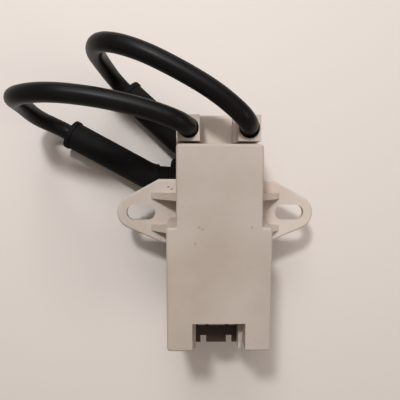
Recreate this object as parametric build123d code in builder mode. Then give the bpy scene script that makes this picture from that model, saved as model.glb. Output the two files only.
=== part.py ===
from build123d import *
import math
import os

os.makedirs("parts", exist_ok=True)

# An electronic ignition transformer for a burner, in millimetres.
# The back of the two slotted ears is the plane z = 0, and +Z points out of the front of the case.
# +Y points to the end with the two high-voltage towers. The origin is midway between the slots.
# The case is one moulding, open at the back, and it is filled with casting resin.
# A darker moulding with the contact tabs closes the floor and the back of the mains connector.

# The case, at its front face
case_depth = 30.0
wall = 2.0
draft_angle = 1.0
upper_half = 15.5
upper_end = 27.1
shoulder_y = -2.7
shoulder_step = 3.6
end_narrowing = 0.3
case_end = -48.1
corner_radius = 1.2
front_edge_radius = 0.9

# The low ledge past the upper block, and the two towers that stand on it
ledge_end = 39.2
ledge_height = 10.5
ledge_edge_radius = 1.5
tower_top = 24.5
tower_width = 8.5
tower_length = 9.8
tower_side_step = 0.1
tower_y = 33.1
tower_draft = 0.6
tower_foot_width = 1.0
tower_foot_height = 4.0

# The leads and their seats in the towers
lead_diameter = 7.0
lead_clearance = 0.2
bore_floor = 10.0
mouth_chamfer = 0.2

# The mounting ears
ear_thickness = 3.0
ear_top = 13.75
ear_bottom = -13.0
ear_top_run = 8.2
ear_bottom_run = 2.5
slot_spacing = 62.0
slot_length = 11.9
slot_width = 6.5
ear_tip_margin = 3.95
ear_edge_radius = 0.9
rib_thickness = 2.5
rib_height = 16.0
rib_reach = 26.8
upper_rib_y = 6.95
lower_rib_y = -6.35

# The mains connector: a trough that stands out of the case end, under a notch in the front.
# The case gives its side walls, and the insulating header its floor and its back.
notch_half = 9.65
notch_top = -37.8
trough_half = 8.2
trough_wall = 1.0
trough_floor = 14.0
trough_top = 19.5
trough_floor_thickness = 1.5
trough_reach = 3.2
pocket_top = 20.0
pocket_back = -33.0
block_wall = 1.6
keyway_x = 5.1
keyway_width = 2.3
keyway_length = 3.0

# The contact tabs, and the insulating header that holds them
tab_thickness = 0.8
tab_tip = -43.0
tab_height = 17.0
tab_tail_y = -29.6
power_tab_width = 2.8
earth_tab_width = 6.3
power_tab_x = 5.9
header_length = 4.0
header_lip = 0.5

# The resin, and the circuit board on which the small parts stand
resin_back = 0.8
board_back = 2.4
board_thickness = 1.6
board_side_gap = 2.1
board_top_y = -7.5
board_bottom_y = -31.5
leg_radius = 0.4
leg_stub = 1.0

# The transformer: a ferrite rod, a sectioned secondary and a primary, all on one axis along Y
coil_back_gap = 4.5
coil_front_gap = 2.5
core_radius = 4.0
core_start = -22.5
core_end = 23.0
secondary_start = -4.0
secondary_end = 22.0
bobbin_hub_radius = 5.2
flange_thickness = 0.8
chamber_count = 6
winding_inset = 0.9
primary_start = -21.0
primary_end = -8.0
former_hub_radius = 4.7
former_flange_radius = 7.2
primary_radius = 6.6

# The small parts
storage_size = (5.6, 14.0, 11.5)
input_size = (5.0, 12.0, 10.5)
switch_size = (8.0, 2.8, 10.5)
switch_lift = 2.6
resistor_radius = 2.1
resistor_length = 6.0
diode_radius = 1.35
diode_length = 4.2
diac_radius = 1.0
diac_length = 3.2
part_edge_gap = 1.1
leg_edge_gap = 0.9
leg_run = 1.2
switch_x = -3.6
switch_leg_pitch = 2.3
diac_x = 4.2
part_tail_gap = 1.0
storage_leg_pitch = 10.0
input_leg_pitch = 7.5
body_lift = 0.3
link_wall_gap = 2.0
link_back_gap = 3.6
link_radius = 0.8
terminal_head_radius = 3.2
terminal_shank_radius = 1.0
terminal_foot = 4.4
lead_seat_z = 16.0

# The rubber boots on the far ends of the leads, and the brass sockets in them.
# They lie behind the case, with room left for a thin plate against its back.
boot_radius = 6.0
boot_bore_radius = 4.6
neck_radius = 5.3
neck_start = 3.4
barrel_start = 8.5
barrel_radius = 9.3
barrel_length = 13.0
barrel_shoulder = 2.0
cavity_radius = 6.8
cavity_start = 3.0
mouth_bead = 0.5
mouth_bead_length = 1.8
boot_clearance = 2.4
boot_bend_radius = 18.0
socket_collar_length = 3.0
socket_radius = 3.0
socket_bore_radius = 2.0
socket_tip_inset = 1.5
socket_seam_turn = 20.0

lower_half = upper_half + shoulder_step
lower_half_at_end = lower_half - end_narrowing
front_growth = case_depth * math.tan(math.radians(draft_angle))
lead_radius = lead_diameter / 2
bobbin_flange_radius = (case_depth - wall - coil_back_gap - coil_front_gap) / 2
coil_z = coil_back_gap + bobbin_flange_radius
secondary_radius = bobbin_flange_radius - winding_inset
slot_x = slot_spacing / 2
ear_top_corner = upper_half + ear_top_run
ear_bottom_corner = lower_half + ear_bottom_run
tower_x = upper_half - tower_side_step - tower_width / 2
tower_bore_radius = lead_radius + lead_clearance
tower_shrink = (tower_top - ledge_height) * math.tan(math.radians(tower_draft))
tower_wall_at_top = tower_width / 2 - tower_shrink - tower_bore_radius
board_front = board_back + board_thickness
board_half = lower_half + front_growth - wall - board_side_gap
header_back = pocket_back
trough_mouth = case_end - trough_reach
block_half = notch_half + block_wall
barrel_axis_z = -boot_clearance - barrel_radius
surface_z = barrel_axis_z - barrel_radius
boot_mouth_z = surface_z + boot_radius + mouth_bead


# Case

def case_outline(inset):
    """Closed T-shaped outline of the case at its open back, drawn in by inset."""
    grow = front_growth - inset
    with BuildLine() as outline:
        right = Polyline(
            (0, upper_end + grow),
            (upper_half + grow, upper_end + grow),
            (upper_half + grow, shoulder_y + grow),
            (lower_half + grow, shoulder_y + grow),
            (lower_half_at_end + grow, case_end - grow),
            (0, case_end - grow),
        )
        mirror(right, about=Plane.YZ)
    return outline.line


def case_cavity():
    """The hollow of the case: the T-shaped well, and the low well under the ledge."""
    inner_half = upper_half + front_growth - wall
    with BuildPart() as cavity:
        with BuildSketch(Plane.XY):
            with BuildLine():
                add(case_outline(wall))
            make_face()
        extrude(amount=case_depth - wall, taper=draft_angle)
        with BuildSketch(Plane.XY):
            with Locations((0, ledge_end - wall)):
                Rectangle(2 * inner_half, ledge_end - upper_end + wall, align=(Align.CENTER, Align.MAX))
        extrude(amount=ledge_height - wall)
    return cavity.part


def ear(side):
    """One mounting ear with its two wedge ribs; side is 1 for +X and -1 for -X."""
    tip_centre = (slot_x + (slot_length - slot_width) / 2, 0)
    tip_radius = slot_width / 2 + ear_tip_margin
    top_tangent = tangent_point(tip_centre, tip_radius, ear_top_corner, ear_top)
    low_tangent = tangent_point(tip_centre, tip_radius, ear_bottom_corner, ear_bottom)
    with BuildPart() as plate:
        with BuildSketch(Plane.XY):
            with BuildLine():
                top_side = Polyline((0, ear_bottom), (0, ear_top), (ear_top_corner, ear_top), top_tangent)
                tip = ThreePointArc(top_side @ 1, (tip_centre[0] + tip_radius, 0), low_tangent)
                Polyline(tip @ 1, (ear_bottom_corner, ear_bottom), (0, ear_bottom))
            make_face()
        extrude(amount=ear_thickness)
        front_rim = plate.faces().sort_by(Axis.Z)[-1].edges().filter_by(lambda e: e.center().X > 1)
        fillet(front_rim, ear_edge_radius)
        for rib_y in (upper_rib_y, lower_rib_y):
            with BuildSketch(Plane.XZ.offset(-rib_y - rib_thickness / 2)):
                Polygon(
                    (0, ear_thickness - 1),
                    (rib_reach, ear_thickness - 1),
                    (rib_reach, ear_thickness),
                    (upper_half, rib_height),
                    (0, rib_height),
                    align=None,
                )
            extrude(amount=rib_thickness)
    return plate.part if side > 0 else plate.part.mirror(Plane.YZ)


def tangent_point(centre, radius, x, y):
    """Where the tangent from the point (x, y) touches the circle, on the side of the point."""
    away = Vector(x - centre[0], y - centre[1])
    reach = away.length
    turn = math.degrees(math.acos(radius / reach))
    heading = math.degrees(math.atan2(away.Y, away.X))
    angle = math.radians(heading - turn if y > centre[1] else heading + turn)
    return (centre[0] + radius * math.cos(angle), centre[1] + radius * math.sin(angle))


with BuildPart() as housing:
    # The T-shaped case, wider at its open back by the draft
    with BuildSketch(Plane.XY):
        with BuildLine():
            add(case_outline(0))
        make_face()
    extrude(amount=case_depth, taper=draft_angle)
    upright = housing.edges().filter_by(lambda e: abs(e.center().Z - case_depth / 2) < 0.5)
    fillet(upright, min(corner_radius, 0.45 * shoulder_step))
    fillet(housing.faces().sort_by(Axis.Z)[-1].edges(), front_edge_radius)

    # The ledge, with a rounded far edge
    with BuildSketch(Plane.XY):
        with Locations((0, ledge_end)):
            Rectangle(2 * (upper_half + front_growth), ledge_end - upper_end + wall,
                      align=(Align.CENTER, Align.MAX))
    extrude(amount=ledge_height)
    far_edge = housing.edges().filter_by(Axis.X).filter_by(lambda e: abs(e.center().Y - ledge_end) < 0.01)
    fillet(far_edge.sort_by(Axis.Z)[-1], ledge_edge_radius)

    # The two square towers
    with BuildSketch(Plane.XY.offset(ledge_height - 1)):
        with Locations((-tower_x, tower_y), (tower_x, tower_y)):
            Rectangle(tower_width, tower_length)
    extrude(amount=tower_top - ledge_height + 1, taper=tower_draft)
    inner_side = tower_x - tower_width / 2
    with BuildSketch(Plane.XY.offset(ledge_height - 1)):
        with Locations((-inner_side, tower_y), (inner_side, tower_y)):
            Rectangle(2 * tower_foot_width, tower_length)
    extrude(amount=tower_foot_height + 1)

    # The ears and their ribs
    add(ear(1))
    add(ear(-1))
    with BuildSketch(Plane.XY):
        with Locations((-slot_x, 0), (slot_x, 0)):
            SlotOverall(slot_length, slot_width)
    extrude(amount=ear_thickness, mode=Mode.SUBTRACT)

    # The hollow inside
    add(case_cavity(), mode=Mode.SUBTRACT)

    # The solid block that carries the connector, and the notch that opens it to the front
    with BuildSketch(Plane.XY.offset(trough_floor - trough_floor_thickness)):
        with Locations((0, case_end + wall / 2)):
            Rectangle(2 * block_half, pocket_back - case_end - wall / 2, align=(Align.CENTER, Align.MIN))
    extrude(amount=case_depth - wall / 2 - trough_floor + trough_floor_thickness)
    with BuildSketch(Plane.XY.offset(pocket_top)):
        with Locations((0, notch_top)):
            Rectangle(2 * notch_half, notch_top - case_end + 2, align=(Align.CENTER, Align.MAX))
    extrude(amount=case_depth, mode=Mode.SUBTRACT)

    # The trough for the plug: its side walls, with the way between them left open for the header
    with BuildSketch(Plane.XZ.offset(-notch_top)):
        with BuildLine():
            Polyline(
                (-trough_half - trough_wall, trough_top),
                (-trough_half - trough_wall, trough_floor - trough_floor_thickness),
                (trough_half + trough_wall, trough_floor - trough_floor_thickness),
                (trough_half + trough_wall, trough_top),
                close=True,
            )
        make_face()
    extrude(amount=notch_top - trough_mouth)
    with BuildSketch(Plane.XY.offset(trough_floor - trough_floor_thickness)):
        with Locations((0, trough_mouth)):
            Rectangle(2 * trough_half, pocket_back - trough_mouth, align=(Align.CENTER, Align.MIN))
    extrude(amount=pocket_top - trough_floor + trough_floor_thickness, mode=Mode.SUBTRACT)

    # The bores of the towers, and the smaller holes under them for the terminals
    with Locations((-tower_x, tower_y, tower_top), (tower_x, tower_y, tower_top)):
        Hole(tower_bore_radius, depth=tower_top - bore_floor)
    mouths = housing.edges().filter_by(GeomType.CIRCLE).filter_by(
        lambda e: abs(e.center().Z - tower_top) < 0.01 and abs(e.radius - tower_bore_radius) < 0.01)
    chamfer(mouths, min(mouth_chamfer, tower_wall_at_top / 2))
    with Locations((-tower_x, tower_y, bore_floor), (tower_x, tower_y, bore_floor)):
        Hole(terminal_shank_radius, depth=bore_floor)
housing.part.label = "housing"
export_step(housing.part, "parts/housing.step")


# Connector

def contact_tab(x, width):
    """A flat blade that runs from the trough through the header and turns down to the board."""
    with BuildPart() as tab:
        with BuildSketch(Plane.YZ.offset(x - width / 2)):
            with BuildLine():
                low = tab_height - tab_thickness / 2
                high = tab_height + tab_thickness / 2
                tail = tab_tail_y + tab_thickness
                Polyline(
                    (tab_tip, low), (tab_tail_y, low), (tab_tail_y, board_front),
                    (tail, board_front), (tail, high), (tab_tip, high), close=True,
                )
            make_face()
        extrude(amount=width)
        with BuildSketch(Plane.XY.offset(board_back - leg_stub)):
            with Locations((x, tab_tail_y + tab_thickness / 2)):
                Rectangle(power_tab_width / 2, tab_thickness)
        extrude(amount=board_thickness + leg_stub)
        tip_edges = tab.edges().filter_by(Axis.X).filter_by(lambda e: abs(e.center().Y - tab_tip) < 0.01)
        chamfer(tip_edges, tab_thickness / 3)
    return tab.part


line_tab = contact_tab(-power_tab_x, power_tab_width)
neutral_tab = contact_tab(power_tab_x, power_tab_width)
earth_tab = contact_tab(0, earth_tab_width)
tabs = {"line_tab": line_tab, "neutral_tab": neutral_tab, "earth_tab": earth_tab}

with BuildPart() as connector_header:
    # The floor of the trough, with a bevelled lip and two keyways at the mouth
    with BuildSketch(Plane.XY.offset(trough_floor - trough_floor_thickness)):
        with Locations((0, trough_mouth)):
            Rectangle(2 * trough_half, header_back - trough_mouth, align=(Align.CENTER, Align.MIN))
    extrude(amount=trough_floor_thickness)
    lip = connector_header.faces().sort_by(Axis.Y)[0].edges().sort_by(Axis.Z)[-1]
    chamfer(lip, min(header_lip, trough_floor_thickness / 2))
    with BuildSketch(Plane.XY.offset(trough_floor - trough_floor_thickness)):
        with Locations((-keyway_x, trough_mouth), (keyway_x, trough_mouth)):
            Rectangle(keyway_width, keyway_length, align=(Align.CENTER, Align.MIN))
    extrude(amount=trough_floor_thickness, mode=Mode.SUBTRACT)
    # The block across the back, through which the tabs pass
    with BuildSketch(Plane.XY.offset(trough_floor)):
        with Locations((0, header_back)):
            Rectangle(2 * trough_half, header_length, align=(Align.CENTER, Align.MAX))
    extrude(amount=pocket_top - trough_floor)
    for tab in tabs.values():
        add(tab, mode=Mode.SUBTRACT)
connector_header.part.label = "connector_header"
export_step(connector_header.part, "parts/connector_header.step")

for name, tab in tabs.items():
    tab.label = name
    export_step(tab, f"parts/{name}.step")


# Transformer

coil_plane = Plane(origin=(0, 0, coil_z), x_dir=(1, 0, 0), z_dir=(0, 1, 0))


def ring_stack(outer, inner, spans):
    """Rings round the coil's axis; spans are pairs of start and end along Y."""
    with BuildPart() as rings:
        for start, end in spans:
            with BuildSketch(coil_plane.offset(start)):
                Circle(outer)
                Circle(inner, mode=Mode.SUBTRACT)
            extrude(amount=end - start)
    return rings.part


with BuildPart() as ferrite_core:
    with BuildSketch(coil_plane.offset(core_start)):
        Circle(core_radius)
    extrude(amount=core_end - core_start)
ferrite_core.part.label = "ferrite_core"
export_step(ferrite_core.part, "parts/ferrite_core.step")

chamber_pitch = (secondary_end - secondary_start - flange_thickness) / chamber_count
flange_starts = [secondary_start + i * chamber_pitch for i in range(chamber_count + 1)]
chambers = [(start + flange_thickness, start + chamber_pitch) for start in flange_starts[:-1]]

with BuildPart() as secondary_bobbin:
    add(ring_stack(bobbin_hub_radius, core_radius, [(secondary_start, secondary_end)]))
    flanges = [(start, start + flange_thickness) for start in flange_starts]
    add(ring_stack(bobbin_flange_radius, core_radius, flanges))
secondary_bobbin.part.label = "secondary_bobbin"
export_step(secondary_bobbin.part, "parts/secondary_bobbin.step")

with BuildPart() as secondary_winding:
    add(ring_stack(secondary_radius, bobbin_hub_radius, chambers))
secondary_winding.part.label = "secondary_winding"
export_step(secondary_winding.part, "parts/secondary_winding.step")

with BuildPart() as primary_former:
    add(ring_stack(former_hub_radius, core_radius, [(primary_start, primary_end)]))
    cheeks = [
        (primary_start, primary_start + flange_thickness),
        (primary_end - flange_thickness, primary_end),
    ]
    add(ring_stack(former_flange_radius, core_radius, cheeks))
primary_former.part.label = "primary_former"
export_step(primary_former.part, "parts/primary_former.step")

with BuildPart() as primary_winding:
    turns = [(primary_start + flange_thickness, primary_end - flange_thickness)]
    add(ring_stack(primary_radius, former_hub_radius, turns))
primary_winding.part.label = "primary_winding"
export_step(primary_winding.part, "parts/primary_winding.step")


# Small parts on the board

def legs(points, top):
    """Round wire legs that stand from below the board up to the height top."""
    with BuildPart() as wires:
        with BuildSketch(Plane.XY.offset(board_back - leg_stub)):
            with Locations(*points):
                Circle(leg_radius)
        extrude(amount=top - board_back + leg_stub)
    return wires.part


def box_capacitor(x, y, size, pitch):
    """A boxed film capacitor that stands on the board on two legs."""
    width, length, height = size
    with BuildPart() as capacitor:
        with BuildSketch(Plane.XY.offset(board_front)):
            with Locations((x, y)):
                Rectangle(width, length)
        extrude(amount=height)
        fillet(capacitor.edges().filter_by(Axis.Z), 0.5)
        add(legs([(x, y - pitch / 2), (x, y + pitch / 2)], board_front))
    return capacitor.part


def axial_part(x, y, radius, length, lift):
    """A round body along Y whose two wires turn down into the board."""
    centre_z = board_front + lift + radius
    reach = length / 2 + leg_run
    with BuildPart() as axial:
        with BuildSketch(Plane.XZ.offset(-y - length / 2)):
            with Locations((x, centre_z)):
                Circle(radius)
        extrude(amount=length)
        for way in (-1, 1):
            with BuildLine() as wire:
                FilletPolyline(
                    (x, y + way * length / 2, centre_z), (x, y + way * reach, centre_z),
                    (x, y + way * reach, board_back - leg_stub), radius=0.8,
                )
            with BuildSketch(Plane(origin=wire.line @ 0, z_dir=wire.line % 0)):
                Circle(leg_radius)
            sweep(path=wire.line)
    return axial.part


def edge_x(half_width):
    """Distance from the middle of the board to a part that stands near its long edge."""
    return board_half - part_edge_gap - half_width


def axial_y(start, length):
    """Middle of an axial part whose lower leg stands leg_edge_gap above start."""
    return start + leg_edge_gap + leg_run + length / 2


parts_top_y = board_top_y - part_edge_gap
tails_top_y = tab_tail_y + tab_thickness
switch_y = tails_top_y + part_tail_gap + switch_size[1] / 2
storage_capacitor = box_capacitor(edge_x(storage_size[0] / 2), parts_top_y - storage_size[1] / 2,
                                  storage_size, storage_leg_pitch)
input_capacitor = box_capacitor(-edge_x(input_size[0] / 2), parts_top_y - input_size[1] / 2,
                                input_size, input_leg_pitch)
charge_resistor = axial_part(-edge_x(resistor_radius), axial_y(board_bottom_y, resistor_length),
                             resistor_radius, resistor_length, body_lift)
rectifier_diode = axial_part(edge_x(diode_radius), axial_y(board_bottom_y, diode_length),
                             diode_radius, diode_length, body_lift)
trigger_diac = axial_part(diac_x, axial_y(tails_top_y, diac_length), diac_radius, diac_length, body_lift)

with BuildPart() as thyristor:
    with BuildSketch(Plane.XY.offset(board_front + switch_lift)):
        with Locations((switch_x, switch_y)):
            Rectangle(switch_size[0], switch_size[1])
    extrude(amount=switch_size[2])
    top_edge = thyristor.edges().filter_by(Axis.X).sort_by(Axis.Z)[-2:]
    chamfer(top_edge, 0.4)
    switch_legs = [(switch_x + step, switch_y) for step in (-switch_leg_pitch, 0, switch_leg_pitch)]
    add(legs(switch_legs, board_front + switch_lift))

small_parts = {
    "storage_capacitor": storage_capacitor,
    "input_capacitor": input_capacitor,
    "charge_resistor": charge_resistor,
    "rectifier_diode": rectifier_diode,
    "trigger_diac": trigger_diac,
    "thyristor": thyristor.part,
}
for name, piece in small_parts.items():
    piece.label = name
    export_step(piece, f"parts/{name}.step")


def primary_tail(way):
    """One end of the primary wire, from the coil down into the board."""
    y = (primary_start + primary_end) / 2 + way * 4.0
    x = way * 3.0
    with BuildPart() as tail:
        add(legs([(x, y)], coil_z))
        add(primary_winding.part, mode=Mode.SUBTRACT)
        add(primary_former.part, mode=Mode.SUBTRACT)
        add(ferrite_core.part, mode=Mode.SUBTRACT)
    return tail.part.solids().sort_by(Axis.Z)[0]


primary_tails = Compound(children=[primary_tail(-1), primary_tail(1)])
primary_tails.label = "primary_tails"
export_step(primary_tails, "parts/primary_tails.step")

with BuildPart() as circuit_board:
    with BuildSketch(Plane.XY.offset(board_back)):
        with Locations((0, board_bottom_y)):
            Rectangle(2 * board_half, board_top_y - board_bottom_y, align=(Align.CENTER, Align.MIN))
    extrude(amount=board_thickness)
    for piece in list(small_parts.values()) + list(tabs.values()) + [primary_tails]:
        add(piece, mode=Mode.SUBTRACT)
circuit_board.part.label = "circuit_board"
export_step(circuit_board.part, "parts/circuit_board.step")


# High-voltage terminals and the wires that feed them

def hv_terminal(side):
    """A turned brass pin: its head fills the foot of the tower's bore, its shank passes the floor."""
    with BuildPart() as terminal:
        with BuildSketch(Plane.XZ.offset(-tower_y)):
            with Locations((side * tower_x, 0)):
                Polygon(
                    (0, terminal_foot),
                    (terminal_shank_radius, terminal_foot),
                    (terminal_shank_radius, bore_floor),
                    (terminal_head_radius, bore_floor),
                    (terminal_head_radius, lead_seat_z),
                    (0, lead_seat_z),
                    align=None,
                )
        revolve(axis=Axis((side * tower_x, tower_y, 0), (0, 0, 1)))
    return terminal.part


def hv_link(side, start_y, points):
    """Insulated wire from a chamber of the secondary to a terminal's shank."""
    with BuildPart() as link:
        with BuildLine() as route:
            FilletPolyline((side * bobbin_hub_radius, start_y, coil_z - bobbin_hub_radius), *points,
                           (side * tower_x, tower_y, terminal_foot + 1.0), radius=1.5)
        with BuildSketch(Plane(origin=route.line @ 0, z_dir=route.line % 0)):
            Circle(link_radius)
        sweep(path=route.line)
        add(secondary_winding.part, mode=Mode.SUBTRACT)
        add(secondary_bobbin.part, mode=Mode.SUBTRACT)
        add(terminals[side], mode=Mode.SUBTRACT)
    return link.part.solids().sort_by(SortBy.VOLUME)[-1]


terminals = {-1: hv_terminal(-1), 1: hv_terminal(1)}
first_chamber_y = (chambers[0][0] + chambers[0][1]) / 2
last_chamber_y = (chambers[-1][0] + chambers[-1][1]) / 2
link_x = upper_half + front_growth - wall - link_wall_gap
links = {
    -1: hv_link(-1, first_chamber_y, [(-link_x, first_chamber_y, link_back_gap + 0.6),
                                      (-link_x, secondary_end, link_back_gap)]),
    1: hv_link(1, last_chamber_y, [(link_x - 2.0, last_chamber_y, link_back_gap + 1.4),
                                   (link_x - 0.4, upper_end, link_back_gap + 1.2)]),
}
side_names = {-1: "left", 1: "right"}
for side, word in side_names.items():
    terminals[side].label = f"hv_terminal_{word}"
    export_step(terminals[side], f"parts/hv_terminal_{word}.step")
    links[side].label = f"hv_link_{word}"
    export_step(links[side], f"parts/hv_link_{word}.step")


# Casting resin

with BuildPart() as casting_resin:
    add(case_cavity())
    with BuildSketch(Plane.XY):
        Rectangle(4 * lower_half, 4 * ledge_end)
    extrude(amount=resin_back, mode=Mode.SUBTRACT)
    with BuildSketch(Plane.XY.offset(trough_floor - trough_floor_thickness)):
        with Locations((0, case_end)):
            Rectangle(2 * block_half, pocket_back - case_end, align=(Align.CENTER, Align.MIN))
    extrude(amount=case_depth, mode=Mode.SUBTRACT)
    add(housing.part, mode=Mode.SUBTRACT)
    inner_pieces = [
        ferrite_core.part, secondary_bobbin.part, secondary_winding.part, primary_former.part,
        primary_winding.part, circuit_board.part, primary_tails,
    ]
    inner_pieces += list(small_parts.values()) + list(tabs.values())
    inner_pieces += list(terminals.values()) + list(links.values())
    for piece in inner_pieces:
        add(piece, mode=Mode.SUBTRACT)
casting_resin.part.label = "casting_resin"
export_step(casting_resin.part, "parts/casting_resin.step")


# Leads and boots

def heading(degrees):
    """Level direction at that angle from +X."""
    return Vector(math.cos(math.radians(degrees)), math.sin(math.radians(degrees)), 0)


def bend_radii(points):
    """Radius of each arc of a lead: 0.45 of the shorter run over the tangent of half the turn."""
    spots = [Vector(*p) for p in points]
    radii = []
    for before, here, after in zip(spots, spots[1:], spots[2:]):
        shorter = min((here - before).length, (after - here).length)
        turn = (here - before).get_angle(after - here)
        radii.append(0.45 * shorter / math.tan(math.radians(turn / 2)))
    return radii


def lead(name, points):
    """A round lead along straight runs joined by tangent arcs."""
    radii = bend_radii(points)
    with BuildPart() as tube:
        with BuildLine() as route:
            FilletPolyline(*points, radius=radii)
        with BuildSketch(Plane(origin=route.line @ 0, z_dir=route.line % 0)):
            Circle(lead_radius)
        sweep(path=route.line)
    section = math.pi * lead_radius ** 2
    length = sum(edge.length for edge in route.line.edges())
    print(name, "length", round(length, 1), "radii", [round(r, 1) for r in radii],
          "volume over section times length", round(tube.part.volume / (section * length), 4))
    return tube.part


# Each boot is drawn from the middle of its open mouth, through its elbow, to its barrel.
boot_routes = {
    "left": {"mouth": (-63.7, 33.3), "elbow": (-28.0, 14.2), "barrel_heading": -4.0},
    "right": {"mouth": (-38.4, 51.5), "elbow": (-13.4, 28.9), "barrel_heading": -1.0},
}


def boot_points(word):
    """Mouth, elbow and barrel start of a boot, and the direction of its barrel."""
    route = boot_routes[word]
    mouth = Vector(*route["mouth"], boot_mouth_z)
    elbow = Vector(*route["elbow"], barrel_axis_z)
    along = heading(route["barrel_heading"])
    return mouth, elbow, along


def boot(word):
    """A rubber boot: a sleeve over the lead, an elbow, a grooved neck and a wide open barrel."""
    mouth, elbow, along = boot_points(word)
    sleeve_end = elbow + along * neck_start
    lead_end = elbow + along * barrel_start
    barrel_plane = Plane(origin=elbow, x_dir=(0, 0, 1), z_dir=along)
    with BuildPart() as sleeve:
        with BuildLine() as route:
            FilletPolyline(mouth, elbow, sleeve_end,
                           radius=min(boot_bend_radius, sleeve_bend(mouth, elbow, along)))
        with BuildSketch(Plane(origin=route.line @ 0, z_dir=route.line % 0)):
            Circle(boot_radius)
        sweep(path=route.line)
        with BuildSketch(Plane(origin=mouth, z_dir=elbow - mouth)):
            Circle(boot_radius + mouth_bead)
        extrude(amount=mouth_bead_length)
        with BuildSketch(barrel_plane.offset(neck_start)):
            Circle(neck_radius)
        extrude(amount=barrel_start - neck_start + 1)
        with BuildSketch(barrel_plane.offset(barrel_start)):
            Circle(barrel_radius)
        extrude(amount=barrel_length)
        barrel_rims = sleeve.edges().filter_by(GeomType.CIRCLE).filter_by(
            lambda e: abs(e.radius - barrel_radius) < 0.01)
        fillet(barrel_rims.sort_by(Axis(elbow, along))[0], barrel_shoulder)
        with BuildLine() as bore:
            FilletPolyline(mouth, elbow, lead_end + along * cavity_start,
                           radius=min(boot_bend_radius, sleeve_bend(mouth, elbow, along)))
        with BuildSketch(Plane(origin=bore.line @ 0, z_dir=bore.line % 0)):
            Circle(boot_bore_radius)
        sweep(path=bore.line, mode=Mode.SUBTRACT)
        with BuildSketch(barrel_plane.offset(barrel_start + cavity_start)):
            Circle(cavity_radius)
        extrude(amount=barrel_length, mode=Mode.SUBTRACT)
    return sleeve.part


def sleeve_bend(mouth, elbow, along):
    """Largest bend radius that leaves the sleeve's short leg past the elbow straight at its end."""
    turn = (elbow - mouth).get_angle(along)
    return 0.95 * neck_start / math.tan(math.radians(turn / 2))


def socket(word):
    """The brass socket that grips a burner electrode: a collar in the boot's bore and an open tube."""
    mouth, elbow, along = boot_points(word)
    seat = barrel_start + cavity_start - socket_collar_length
    tip = barrel_start + barrel_length - socket_tip_inset
    # The seams of its round faces lie off the upright plane through its axis
    seam_way = Vector(0, 0, 1).rotate(Axis((0, 0, 0), along), socket_seam_turn)
    barrel_plane = Plane(origin=elbow, x_dir=seam_way, z_dir=along)
    with BuildPart() as contact:
        with BuildSketch(barrel_plane.offset(seat)):
            Circle(boot_bore_radius)
        extrude(amount=socket_collar_length)
        with BuildSketch(barrel_plane.offset(seat)):
            Circle(socket_radius)
        extrude(amount=tip - seat)
        with BuildSketch(barrel_plane.offset(seat + socket_collar_length)):
            Circle(socket_bore_radius)
        extrude(amount=tip - seat, mode=Mode.SUBTRACT)
    return contact.part


def boot_entry(word):
    """The lead's last points: outside the mouth, inside it, before the elbow, at it and at the socket."""
    mouth, elbow, along = boot_points(word)
    inward = (elbow - mouth).normalized()
    outside = mouth - inward * 6.0
    inside = mouth + inward * 9.0 + Vector(0, 0, 0.3)
    before = elbow - inward * 15.0 - Vector(0, 0, 0.3)
    seat = elbow + along * (barrel_start + cavity_start - socket_collar_length)
    return [tuple(outside), tuple(inside), tuple(before), tuple(elbow), tuple(seat)]


left_route = [
    (-tower_x, tower_y, lead_seat_z),
    (-tower_x, tower_y, 31.0),
    (-25.5, 38.9, 32.6),
    (-43.8, 42.8, 33.2),
    (-61.0, 44.4, 32.4),
    (-74.8, 43.9, 24.5),
    (-77.6, 43.7, 8.5),
    (-76.0, 39.4, -6.0),
] + boot_entry("left")
right_route = [
    (tower_x, tower_y, lead_seat_z),
    (tower_x, tower_y, 31.0),
    (0.3, 43.5, 32.6),
    (-13.2, 51.4, 33.2),
    (-28.4, 58.8, 32.6),
    (-41.4, 62.8, 28.0),
    (-47.5, 63.3, 14.0),
    (-47.0, 61.4, -1.0),
] + boot_entry("right")

lead_left = lead("lead_left", left_route)
lead_right = lead("lead_right", right_route)
cord_pieces = {
    "lead_left": lead_left,
    "lead_right": lead_right,
    "boot_left": boot("left"),
    "boot_right": boot("right"),
    "electrode_socket_left": socket("left"),
    "electrode_socket_right": socket("right"),
}
for name, piece in cord_pieces.items():
    piece.label = name
    export_step(piece, f"parts/{name}.step")
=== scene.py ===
# %% [markdown]
# An ignition transformer on a pale table
#
# The solids of the transformer come from its CAD model. This script dresses them: it gives each piece its
# finish, lays the two leads as smooth curves, adds the small marks that moulding leaves, and sets up the
# table, the light and the camera.

import math

import bpy
from mathutils import Matrix, Vector


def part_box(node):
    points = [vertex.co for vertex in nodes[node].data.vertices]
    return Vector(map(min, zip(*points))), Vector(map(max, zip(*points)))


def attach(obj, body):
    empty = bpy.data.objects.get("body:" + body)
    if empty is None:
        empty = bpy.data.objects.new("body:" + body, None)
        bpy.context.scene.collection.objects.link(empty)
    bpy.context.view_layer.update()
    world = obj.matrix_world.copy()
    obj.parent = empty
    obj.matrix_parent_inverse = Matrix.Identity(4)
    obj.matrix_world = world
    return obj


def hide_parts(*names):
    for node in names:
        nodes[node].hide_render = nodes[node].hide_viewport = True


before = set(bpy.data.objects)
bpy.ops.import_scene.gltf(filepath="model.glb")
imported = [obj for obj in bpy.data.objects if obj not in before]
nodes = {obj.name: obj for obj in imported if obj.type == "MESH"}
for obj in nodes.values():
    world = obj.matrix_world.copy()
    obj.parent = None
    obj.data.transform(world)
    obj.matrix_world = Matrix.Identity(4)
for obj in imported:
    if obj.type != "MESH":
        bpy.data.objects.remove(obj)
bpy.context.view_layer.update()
MM = 0.001
print("pieces in the model:", len(nodes))

# %% [markdown]
# The camera first
#
# The photo was taken from nearly straight above, tilted by a few degrees. A tilt and a shift that were
# measured on the photo place the object in front of the camera, so the camera stands at the inverse of that
# move. The lens follows from the focal length in pixels over the width of the picture.

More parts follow.
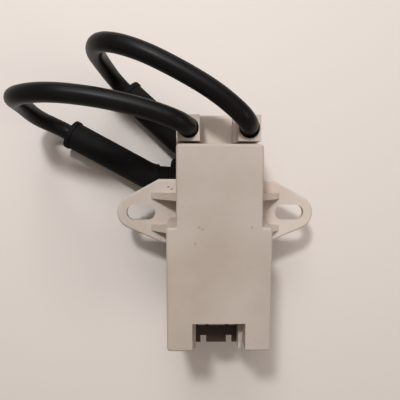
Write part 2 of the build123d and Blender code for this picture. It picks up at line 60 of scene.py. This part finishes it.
# %% Camera
tilt_x, tilt_y, tilt_z = 0.078, 0.023, -0.002
object_shift = Vector((6.316, -4.904, -183.848)) * MM
focal_px, picture_px, sensor_mm = 433.0, 400.0, 36.0
nearest_seen, farthest_seen = 0.01, 10.0

turn_x = Matrix.Rotation(tilt_x, 4, "X")
turn_y = Matrix.Rotation(tilt_y, 4, "Y")
turn_z = Matrix.Rotation(tilt_z, 4, "Z")
camera_data = bpy.data.cameras.new("photo_camera")
camera_data.sensor_width = sensor_mm
camera_data.lens = sensor_mm * focal_px / picture_px
camera_data.clip_start = nearest_seen
camera_data.clip_end = farthest_seen
camera = bpy.data.objects.new("photo_camera", camera_data)
bpy.context.scene.collection.objects.link(camera)
camera.matrix_world = (Matrix.Translation(object_shift) @ turn_z @ turn_y @ turn_x).inverted()
bpy.context.scene.camera = camera
camera_place = [round(value, 4) for value in camera.matrix_world.translation]
print("lens", round(camera_data.lens, 2), "mm, camera at", camera_place)

# %% [markdown]
# The routes of the two leads
#
# Each lead is one length of round silicone cable. It stands up out of its tower, bends over at once, runs
# above the case in a wide loop, and comes back down into a rubber boot on the table. Its route is a short
# list of points in millimetres, the same as in the CAD model. Only the second point of each was moved, by
# less than 1 mm: in the photo the lead leans to the right in its bore before it bends to the left.

# %% Lead routes
lead_diameter = 7.0
tower_x, tower_y, lead_seat_z = 11.15, 33.1, 16.0
bend_z = 31.2
left_lean_x, right_lean_x, lean_y = 0.9, 0.6, 0.2
barrel_axis_z = -11.7
boot_mouth_z = -14.5
before_mouth, past_mouth, before_elbow = 6.0, 9.0, 15.0
lead_end_reach = 8.5
boot_slack = Vector((0, 0, 0.3))


def boot_entry(mouth, elbow, barrel_heading):
    """The last points of a lead: outside its boot, twice inside it, at its elbow and at its socket."""
    mouth = Vector((*mouth, boot_mouth_z))
    elbow = Vector((*elbow, barrel_axis_z))
    inward = (elbow - mouth).normalized()
    heading = math.radians(barrel_heading)
    along = Vector((math.cos(heading), math.sin(heading), 0))
    return [
        mouth - inward * before_mouth,
        mouth + inward * past_mouth + boot_slack,
        elbow - inward * before_elbow - boot_slack,
        elbow,
        elbow + along * lead_end_reach,
    ]


lead_routes = {
    "left": [
        (-tower_x, tower_y, lead_seat_z),
        (-tower_x + left_lean_x, tower_y + lean_y, bend_z),
        (-25.5, 38.9, 32.6),
        (-43.8, 42.8, 33.2),
        (-61.0, 44.4, 32.4),
        (-74.8, 43.9, 24.5),
        (-77.6, 43.7, 8.5),
        (-76.0, 39.4, -6.0),
        *boot_entry(mouth=(-63.7, 33.3), elbow=(-28.0, 14.2), barrel_heading=-4.0),
    ],
    "right": [
        (tower_x, tower_y, lead_seat_z),
        (tower_x + right_lean_x, tower_y + lean_y, bend_z),
        (0.3, 43.5, 32.6),
        (-13.2, 51.4, 33.2),
        (-28.4, 58.8, 32.6),
        (-41.4, 62.8, 28.0),
        (-47.5, 63.3, 14.0),
        (-47.0, 61.4, -1.0),
        *boot_entry(mouth=(-38.4, 51.5), elbow=(-13.4, 28.9), barrel_heading=-1.0),
    ],
}
print("points on the routes:", {side: len(points) for side, points in lead_routes.items()})

# %% [markdown]
# The leads as curves
#
# A NURBS curve suits a lead, because it stays smooth however few points guide it. Its order and its end
# points are set after the points are there, or the curve would stay straight between them. The thickness of
# a curve is its bevel depth times the radius of its points. Blender also adds that radius to the curve's
# box, so the radius is the lead's own, in metres, and the bevel depth is 1.


# %% Leads as curves
def lay_lead(side):
    """A smooth round curve along the route of one lead, which stands for its solid."""
    line = bpy.data.curves.new(f"lead_curve_{side}", "CURVE")
    line.dimensions = "3D"
    line.bevel_depth = 1.0
    line.bevel_resolution = 10
    line.resolution_u = 20
    line.use_fill_caps = True
    spline = line.splines.new("NURBS")
    points = lead_routes[side]
    spline.points.add(len(points) - 1)
    for point, place in zip(spline.points, points):
        point.co = (*(Vector(place) * MM), 1)
        point.radius = lead_diameter / 2 * MM
    spline.order_u = 3
    spline.use_endpoint_u = True
    lead = bpy.data.objects.new(f"silicone_lead_{side}", line)
    bpy.context.scene.collection.objects.link(lead)
    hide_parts(f"lead_{side}")
    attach(lead, "root")
    return lead


leads = {side: lay_lead(side) for side in lead_routes}
print("leads:", [lead.name for lead in leads.values()])

# %% [markdown]
# Finishes
#
# Every finish is a Principled shader. A helper makes the material and hands back its tree and its shader,
# and another gives it to the solids. Colours are written as they look on a screen, from 0 to 255, and are
# turned into the linear values that a shader needs.


# %% A finish and its colour
def linear(red, green, blue):
    """An sRGB colour of 0 to 255 as the linear colour of a shader."""
    def one(value):
        value /= 255
        return value / 12.92 if value <= 0.04045 else ((value + 0.055) / 1.055) ** 2.4
    return (one(red), one(green), one(blue), 1)


def new_finish(name, colour, roughness, metallic=0.0, specular=0.5):
    """A Principled material of one sRGB colour, with its node tree and its shader."""
    finish = bpy.data.materials.new(name)
    finish.use_nodes = True
    tree = finish.node_tree
    shader = tree.nodes["Principled BSDF"]
    shader.inputs["Base Color"].default_value = linear(*colour)
    shader.inputs["Roughness"].default_value = roughness
    shader.inputs["Metallic"].default_value = metallic
    shader.inputs["Specular IOR Level"].default_value = specular
    return finish, tree, shader


def dress(finish, *names):
    """Gives the named solids this finish in every material slot."""
    for name in names:
        slots = nodes[name].material_slots
        if not slots:
            nodes[name].data.materials.append(finish)
        for one in slots:
            one.material = finish
    print(finish.name, "on", len(names), "pieces")


# %% [markdown]
# Patterns in a finish
#
# No real surface has one even colour. Noise in object coordinates stays fixed to the piece, and its scale
# counts features per metre. A ramp turns that noise into colours, a range turns it into roughness, and a
# bump lets it tilt the surface. A second bump on the same shader lies over the first.


# %% Helpers for patterns
def noise(tree, scale, detail, stretch=(1, 1, 1)):
    """Noise in object coordinates, with scale in features per metre."""
    place = tree.nodes.new("ShaderNodeTexCoord")
    mapping = tree.nodes.new("ShaderNodeMapping")
    mapping.inputs["Scale"].default_value = stretch
    texture = tree.nodes.new("ShaderNodeTexNoise")
    texture.inputs["Scale"].default_value = scale
    texture.inputs["Detail"].default_value = detail
    tree.links.new(place.outputs["Object"], mapping.inputs["Vector"])
    tree.links.new(mapping.outputs["Vector"], texture.inputs["Vector"])
    return texture.outputs["Fac"]


def ramp(tree, value, *stops):
    """A colour ramp over value; each stop is a position and an sRGB colour."""
    node = tree.nodes.new("ShaderNodeValToRGB")
    elements = node.color_ramp.elements
    while len(elements) < len(stops):
        elements.new(0.5)
    for element, (position, colour) in zip(elements, stops):
        element.position = position
        element.color = linear(*colour)
    tree.links.new(value, node.inputs["Fac"])
    return node.outputs["Color"]


def tint(tree, shader, value, *stops):
    """The shader's colour from a ramp over value."""
    tree.links.new(ramp(tree, value, *stops), shader.inputs["Base Color"])


def vary_roughness(tree, shader, value, low, high):
    """Roughness that runs from low to high with value."""
    node = tree.nodes.new("ShaderNodeMapRange")
    node.inputs["To Min"].default_value = low
    node.inputs["To Max"].default_value = high
    tree.links.new(value, node.inputs["Value"])
    tree.links.new(node.outputs["Result"], shader.inputs["Roughness"])


def add_bump(tree, shader, value, depth_mm, strength=1.0, sunk=False):
    """Bump from value, with its depth in millimetres, over any bump that the shader has."""
    node = tree.nodes.new("ShaderNodeBump")
    node.invert = sunk
    node.inputs["Distance"].default_value = depth_mm * MM
    node.inputs["Strength"].default_value = strength
    tree.links.new(value, node.inputs["Height"])
    normal = shader.inputs["Normal"]
    if normal.is_linked:
        tree.links.new(normal.links[0].from_socket, node.inputs["Normal"])
    tree.links.new(node.outputs["Normal"], normal)


# %% [markdown]
# The case
#
# The case is moulded in a grey-beige plastic with a fine, matt, spark-eroded texture. Large pale clouds show
# where the plastic flowed, and fine grey specks sit in it. Handling has left it a little darker in soft
# patches. Painted shade makes it greyer towards the front. Each of these is a colour of its own: the clouds
# are the plastic, and the others are near white and are multiplied over it, so that they only darken it.

# %% Clouds, specks and patches
case_plastic, tree, shader = new_finish("case_plastic", (197, 185, 175), 0.6, specular=0.35)
white = (255, 255, 255)
clouds = noise(tree, scale=45, detail=3)
specks = noise(tree, scale=1100, detail=2)
patches = noise(tree, scale=22, detail=5)
cloud_colour = ramp(tree, clouds, (0.30, (194, 182, 172)), (0.70, (201, 189, 179)))
speck_colour = ramp(tree, specks, (0.22, (214, 209, 205)), (0.34, white))
patch_colour = ramp(tree, patches, (0.35, (238, 232, 226)), (0.55, white))
print("nodes in the case's finish so far:", len(tree.nodes))

# %% [markdown]
# Painted shade that follows the height
#
# This grey is painted shade, which makes the front a little darker than the ears. The height above the back,
# as a share of the case's depth, drives a ramp from white at the ears to a light grey at the front.

# %% Painted shade, greyer towards the front
case_depth = 30
coordinate = tree.nodes.new("ShaderNodeTexCoord")
place = tree.nodes.new("ShaderNodeSeparateXYZ")
tree.links.new(coordinate.outputs["Object"], place.inputs["Vector"])
share_up = tree.nodes.new("ShaderNodeMapRange")
share_up.inputs["From Max"].default_value = case_depth * MM
tree.links.new(place.outputs["Z"], share_up.inputs["Value"])
# Painted shade: a ramp over the height, light grey at the front.
front_painted_shade_colour = ramp(tree, share_up.outputs["Result"],
                      (0.2, white), (0.6, (244, 242, 241)), (1.0, (229, 227, 226)))


def mix_colour(tree, share, first, second, way="MIX"):
    """Mixes two colours, each a fixed colour or an output; share is a number or an output."""
    node = tree.nodes.new("ShaderNodeMixRGB")
    node.blend_type = way
    for socket, value in zip(("Fac", "Color1", "Color2"), (share, first, second)):
        if isinstance(value, bpy.types.NodeSocket):
            tree.links.new(value, node.inputs[socket])
        else:
            node.inputs[socket].default_value = value
    return node.outputs["Color"]


case_colour = mix_colour(tree, 0.5, cloud_colour, speck_colour, "MULTIPLY")
case_colour = mix_colour(tree, 0.6, case_colour, patch_colour, "MULTIPLY")
# The painted shade is multiplied over the case's colour, darkening the front.
case_colour = mix_colour(tree, 1.0, case_colour, front_painted_shade_colour, "MULTIPLY")
print("tint over a height of", case_depth, "mm")

# %% [markdown]
# Small marks on the case
#
# Two tiny pits sit on the left ear, and a few brown stains lie on the front by the step. They are too small
# to model. A distance node measures how far each point of the surface is from a mark, and that distance
# becomes a soft spot, which tints the colour and, for the pits, lowers the surface.

# %% Pits and stains
ear_pits = [(-19.6, 10.5, 3.0), (-18.1, 9.6, 3.0)]
front_stains = [(-7.3, -2.5, 30.0), (-6.1, -3.2, 30.0), (11.6, -2.6, 30.0), (-8.7, -8.4, 30.0)]
pit_radius, stain_radius = 0.55, 0.75
stain_share = 0.45


def near_places(tree, places, radius_mm):
    """A value that is 1 at any of the places, in millimetres, and falls to 0 at radius_mm from it."""
    coordinate = tree.nodes.new("ShaderNodeTexCoord")
    nearest = None
    for place in places:
        gap = tree.nodes.new("ShaderNodeVectorMath")
        gap.operation = "DISTANCE"
        tree.links.new(coordinate.outputs["Object"], gap.inputs[0])
        gap.inputs[1].default_value = Vector(place) * MM
        if nearest is None:
            nearest = gap.outputs["Value"]
            continue
        smaller = tree.nodes.new("ShaderNodeMath")
        smaller.operation = "MINIMUM"
        tree.links.new(nearest, smaller.inputs[0])
        tree.links.new(gap.outputs["Value"], smaller.inputs[1])
        nearest = smaller.outputs["Value"]
    fade = tree.nodes.new("ShaderNodeMapRange")
    fade.interpolation_type = "SMOOTHSTEP"
    fade.inputs["From Min"].default_value = 0.0
    fade.inputs["From Max"].default_value = radius_mm * MM
    fade.inputs["To Min"].default_value = 1.0
    fade.inputs["To Max"].default_value = 0.0
    tree.links.new(nearest, fade.inputs["Value"])
    return fade.outputs["Result"]


pit_spots = near_places(tree, ear_pits, pit_radius)
stain_spots = near_places(tree, front_stains, stain_radius)
case_colour = mix_colour(tree, pit_spots, case_colour, linear(96, 80, 68))
stained = mix_colour(tree, stain_share, case_colour, linear(112, 78, 60))
tree.links.new(mix_colour(tree, stain_spots, case_colour, stained), shader.inputs["Base Color"])
print("marks on the case:", len(ear_pits) + len(front_stains))

# %% [markdown]
# The feel of the case
#
# The clouds also vary the roughness a little, so the shine isn't even. The spark-eroded texture is a very
# fine noise, too small to see as shapes, which breaks up the shine. The pits lie over it as a second bump.

# %% Texture of the case
vary_roughness(tree, shader, clouds, 0.54, 0.68)
add_bump(tree, shader, noise(tree, scale=2600, detail=2), 0.03, 0.5)
add_bump(tree, shader, pit_spots, 0.3, sunk=True)
dress(case_plastic, "housing")

# %% [markdown]
# Resin and connector
#
# The resin sets with a smooth, slightly wavy surface. The header, which is also the floor of the mains
# connector, is a dark brown plastic with a fine grain.

# %% Resin and header
resin, tree, shader = new_finish("casting_resin_black", (45, 42, 41), 0.35)
waves = noise(tree, scale=60, detail=2)
tint(tree, shader, waves, (0.3, (38, 36, 35)), (0.7, (54, 50, 48)))
vary_roughness(tree, shader, waves, 0.28, 0.46)
add_bump(tree, shader, waves, 0.3, 0.4)
dress(resin, "casting_resin")

header_plastic, tree, shader = new_finish("header_plastic", (50, 36, 28), 0.6, specular=0.3)
grain = noise(tree, scale=700, detail=3)
tint(tree, shader, grain, (0.3, (44, 31, 24)), (0.7, (58, 42, 33)))
add_bump(tree, shader, grain, 0.02, 0.5)
dress(header_plastic, "connector_header")

# %% [markdown]
# Metals
#
# The tabs are tinned brass, whose dull tin is smeared along the tab. The turned contacts are bare brass with
# fine rings from the lathe. In both, the noise is stretched: a small factor along one way draws it out.

# %% Metals
tinned, tree, shader = new_finish("tinned_brass", (158, 146, 148), 0.5, metallic=0.7)
smear = noise(tree, scale=500, detail=3, stretch=(1, 0.15, 1))
tint(tree, shader, smear, (0.3, (140, 126, 130)), (0.7, (174, 162, 164)))
vary_roughness(tree, shader, smear, 0.42, 0.6)
dress(tinned, "line_tab", "neutral_tab", "earth_tab")

brass, tree, shader = new_finish("turned_brass", (196, 160, 90), 0.3, metallic=1.0)
rings = noise(tree, scale=1500, detail=2, stretch=(1, 0.1, 0.1))
tint(tree, shader, rings, (0.3, (180, 144, 78)), (0.7, (208, 174, 104)))
vary_roughness(tree, shader, rings, 0.22, 0.42)
dress(brass, "hv_terminal_left", "hv_terminal_right", "electrode_socket_left", "electrode_socket_right")

# %% [markdown]
# The parts inside the resin
#
# None of them shows while the case is whole. They still get the finishes of the real parts, because
# someone may take the case off: copper coils, pale bobbins, dark ferrite, a laminate board, and so on. Each
# line of the table is one finish: its dark and its pale colour, its roughness, how metallic it is, the scale
# of its fleck, and its pieces.

# %% Inner parts
inner_looks = {
    "enamelled_copper": ((176, 92, 52), (206, 118, 70), 0.3, 0.9, 2200,
                         ("primary_winding", "secondary_winding", "primary_tails")),
    "bobbin_polyester": ((214, 208, 190), (228, 222, 206), 0.5, 0.0, 400,
                         ("secondary_bobbin", "primary_former")),
    "sintered_ferrite": ((52, 52, 55), (70, 70, 72), 0.7, 0.0, 1500, ("ferrite_core",)),
    "board_laminate": ((176, 150, 84), (196, 170, 104), 0.45, 0.0, 900, ("circuit_board",)),
    "capacitor_case": ((192, 152, 30), (206, 166, 44), 0.4, 0.0, 300,
                       ("storage_capacitor", "input_capacitor")),
    "moulded_epoxy": ((26, 26, 27), (38, 38, 38), 0.5, 0.0, 900,
                      ("thyristor", "rectifier_diode", "trigger_diac")),
    "resistor_lacquer": ((134, 160, 178), (152, 176, 192), 0.35, 0.0, 500, ("charge_resistor",)),
    "link_silicone": ((140, 34, 26), (158, 44, 34), 0.5, 0.0, 600, ("hv_link_left", "hv_link_right")),
}
smoother, rougher = 0.08, 0.1
for name, (dark, pale, roughness, metallic, scale, members) in inner_looks.items():
    finish, tree, shader = new_finish(name, pale, roughness, metallic)
    fleck = noise(tree, scale, detail=3)
    tint(tree, shader, fleck, (0.3, dark), (0.7, pale))
    vary_roughness(tree, shader, fleck, roughness - smoother, roughness + rougher)
    dress(finish, *members)

# %% [markdown]
# Leads and boots
#
# The leads are black silicone with a satin skin. A long soft highlight runs along them, and handling has
# left paler dust. The boots are a duller rubber, and their texture is coarser.

# %% Silicone and rubber
silicone, tree, shader = new_finish("lead_silicone", (14, 12, 13), 0.36, specular=0.11)
dust = noise(tree, scale=90, detail=5)
tint(tree, shader, dust, (0.35, (11, 10, 10)), (0.75, (22, 19, 19)))
vary_roughness(tree, shader, dust, 0.30, 0.46)
add_bump(tree, shader, noise(tree, scale=1400, detail=2), 0.02, 0.4)
for lead in leads.values():
    lead.data.materials.append(silicone)

rubber, tree, shader = new_finish("boot_rubber", (16, 14, 14), 0.7, specular=0.10)
bloom = noise(tree, scale=160, detail=4)
tint(tree, shader, bloom, (0.35, (12, 11, 11)), (0.8, (24, 22, 22)))
vary_roughness(tree, shader, bloom, 0.6, 0.8)
add_bump(tree, shader, noise(tree, scale=1800, detail=3), 0.04, 0.5)
dress(rubber, "boot_left", "boot_right")

# %% [markdown]
# The table
#
# The transformer lies on its boots on a plain pale table. The table's height is the lowest point of a boot.

# %% Table
table_width = 6
table_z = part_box("boot_left")[0][2]
bpy.ops.object.select_all(action="DESELECT")
bpy.ops.mesh.primitive_grid_add(x_subdivisions=4, y_subdivisions=4, size=table_width,
                                location=(0, 0, table_z))
table = bpy.context.object
table.name = "table"
table_finish, tree, shader = new_finish("table_white", (220, 212, 206), 0.7)
add_bump(tree, shader, noise(tree, scale=700, detail=3), 0.02, 0.2)
table.data.materials.append(table_finish)
print("table at", round(table_z / MM, 1), "mm")

# %% [markdown]
# The lamps
#
# The shadows in the photo are short and fairly sharp and spread apart away from the towers, so the main lamp
# is small and near, beyond the towers and a little to the left. A cooler window far behind it gives the leads
# their long highlight. Warm light from the ceiling and one side fills the shadows, as the room would. Each
# lamp is a round area lamp with a place and a width in metres, a power in watts and a colour. A lamp shines
# along its own -Z, so its +Z is turned away from the origin.

# %% Lamps
warm = (1.0, 0.93, 0.88)
lamps = {
    "desk_lamp": ((-0.10, 0.28, 0.48), 0.06, 1.70, (0.98, 0.99, 1.0)),
    "window": ((-0.10, 0.95, 0.66), 0.45, 3.4, (0.95, 0.98, 1.0)),
    "ceiling": ((0.0, 0.7, 1.1), 0.9, 3.4, warm),
    "side_wall": ((0.8, -0.1, 0.7), 0.60, 2.1, warm),
}
for name, (place, width, power, colour) in lamps.items():
    lamp_data = bpy.data.lights.new(name, "AREA")
    lamp_data.shape = "DISK"
    lamp_data.size = width
    lamp_data.energy = power
    lamp_data.color = colour
    lamp = bpy.data.objects.new(name, lamp_data)
    lamp.location = place
    lamp.rotation_euler = Vector(place).to_track_quat("Z", "Y").to_euler()
    bpy.context.scene.collection.objects.link(lamp)
print("lamps:", list(lamps))

# %% [markdown]
# The room
#
# The world gives a dim, warm light from all sides. The camera and the reflections see a pale wall in its
# place, as they would in a real room. A Light Path node tells which kind of ray asks, and the largest of its
# three answers chooses between the two.

# %% Room
world = bpy.data.worlds.new("room")
world.use_nodes = True
world_tree = world.node_tree
room_light = world_tree.nodes["Background"]
room_light.inputs["Color"].default_value = (1.0, 0.88, 0.80, 1)
room_light.inputs["Strength"].default_value = 0.20
room_wall = world_tree.nodes.new("ShaderNodeBackground")
room_wall.inputs["Color"].default_value = linear(205, 198, 192)
room_wall.inputs["Strength"].default_value = 0.75
rays = world_tree.nodes.new("ShaderNodeLightPath")
seen = rays.outputs["Is Camera Ray"]
for other in ("Is Glossy Ray", "Is Transmission Ray"):
    either = world_tree.nodes.new("ShaderNodeMath")
    either.operation = "MAXIMUM"
    world_tree.links.new(seen, either.inputs[0])
    world_tree.links.new(rays.outputs[other], either.inputs[1])
    seen = either.outputs["Value"]
room_mix = world_tree.nodes.new("ShaderNodeMixShader")
world_tree.links.new(seen, room_mix.inputs["Fac"])
world_tree.links.new(room_light.outputs["Background"], room_mix.inputs[1])
world_tree.links.new(room_wall.outputs["Background"], room_mix.inputs[2])
world_tree.links.new(room_mix.outputs["Shader"], world_tree.nodes["World Output"].inputs["Surface"])
bpy.context.scene.world = world
bpy.context.scene.view_settings.view_transform = "Standard"
print("world:", world.name)
